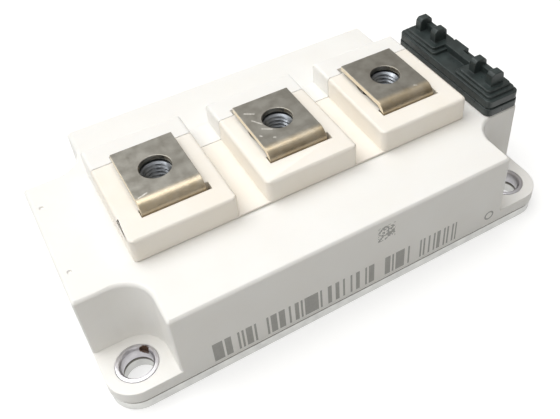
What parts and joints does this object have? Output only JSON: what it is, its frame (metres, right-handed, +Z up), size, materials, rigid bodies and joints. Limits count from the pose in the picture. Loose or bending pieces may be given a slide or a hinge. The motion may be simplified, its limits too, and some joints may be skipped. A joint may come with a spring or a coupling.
{
  "type": "igbt module",
  "caption": "Flat half-bridge power module: ivory housing on a metal base plate, a row of bent screw terminals over captive nuts, and a stepped black shorting cap over its control tabs.",
  "frame": {"origin": "middle of the base plate's mounting face", "axes": "+X along the row of power terminals towards the control tabs, +Y across it towards the terminals' free ends, +Z up from the heatsink"},
  "size_m": [0.1064, 0.0614, 0.0315],
  "materials": {
    "white_plastic": "moulded glass-filled thermoplastic, ivory white, fine satin",
    "base_metal": "nickel-plated copper plate, satin",
    "sleeve_steel": "plated steel sleeve, satin",
    "terminal_metal": "nickel-plated copper strip, lightly scratched",
    "nut_steel": "bright zinc-plated steel",
    "black_plastic": "conductive black plastic, slight sheen",
    "tab_metal": "tinned brass",
    "copper": "bonded copper, matt",
    "substrate_ceramic": "white alumina",
    "silicon": "silicon with aluminium pads",
    "bond_aluminium": "drawn wire",
    "link_insulation": "silicone-insulated wire",
    "silicone_gel": "clear soft gel"
  },
  "bodies": {
    "root": {"base_plate": "base_metal", "bond_wires_1": "bond_aluminium", "bond_wires_2": "bond_aluminium", "control_tab_1": "tab_metal", "control_tab_2": "tab_metal", "control_tab_3": "tab_metal", "control_tab_4": "tab_metal", "diode_chip_1": "silicon", "diode_chip_2": "silicon", "diode_chip_3": "silicon", "diode_chip_4": "silicon", "gate_link_1": "link_insulation", "gate_link_2": "link_insulation", "housing": "white_plastic", "igbt_chip_1": "silicon", "igbt_chip_2": "silicon", "igbt_chip_3": "silicon", "igbt_chip_4": "silicon", "mount_sleeve_1": "sleeve_steel", "mount_sleeve_2": "sleeve_steel", "mount_sleeve_3": "sleeve_steel", "mount_sleeve_4": "sleeve_steel", "nut_carrier": "white_plastic", "shorting_cap": "black_plastic", "silicone_gel": "silicone_gel", "substrate_1": "substrate_ceramic", "substrate_1_base_copper": "copper", "substrate_1_tracks": "copper", "substrate_2": "substrate_ceramic", "substrate_2_base_copper": "copper", "substrate_2_tracks": "copper", "terminal_1": "terminal_metal", "terminal_2": "terminal_metal", "terminal_3": "terminal_metal", "terminal_nut_1": "nut_steel", "terminal_nut_2": "nut_steel", "terminal_nut_3": "nut_steel"}
  },
  "joints": []
}
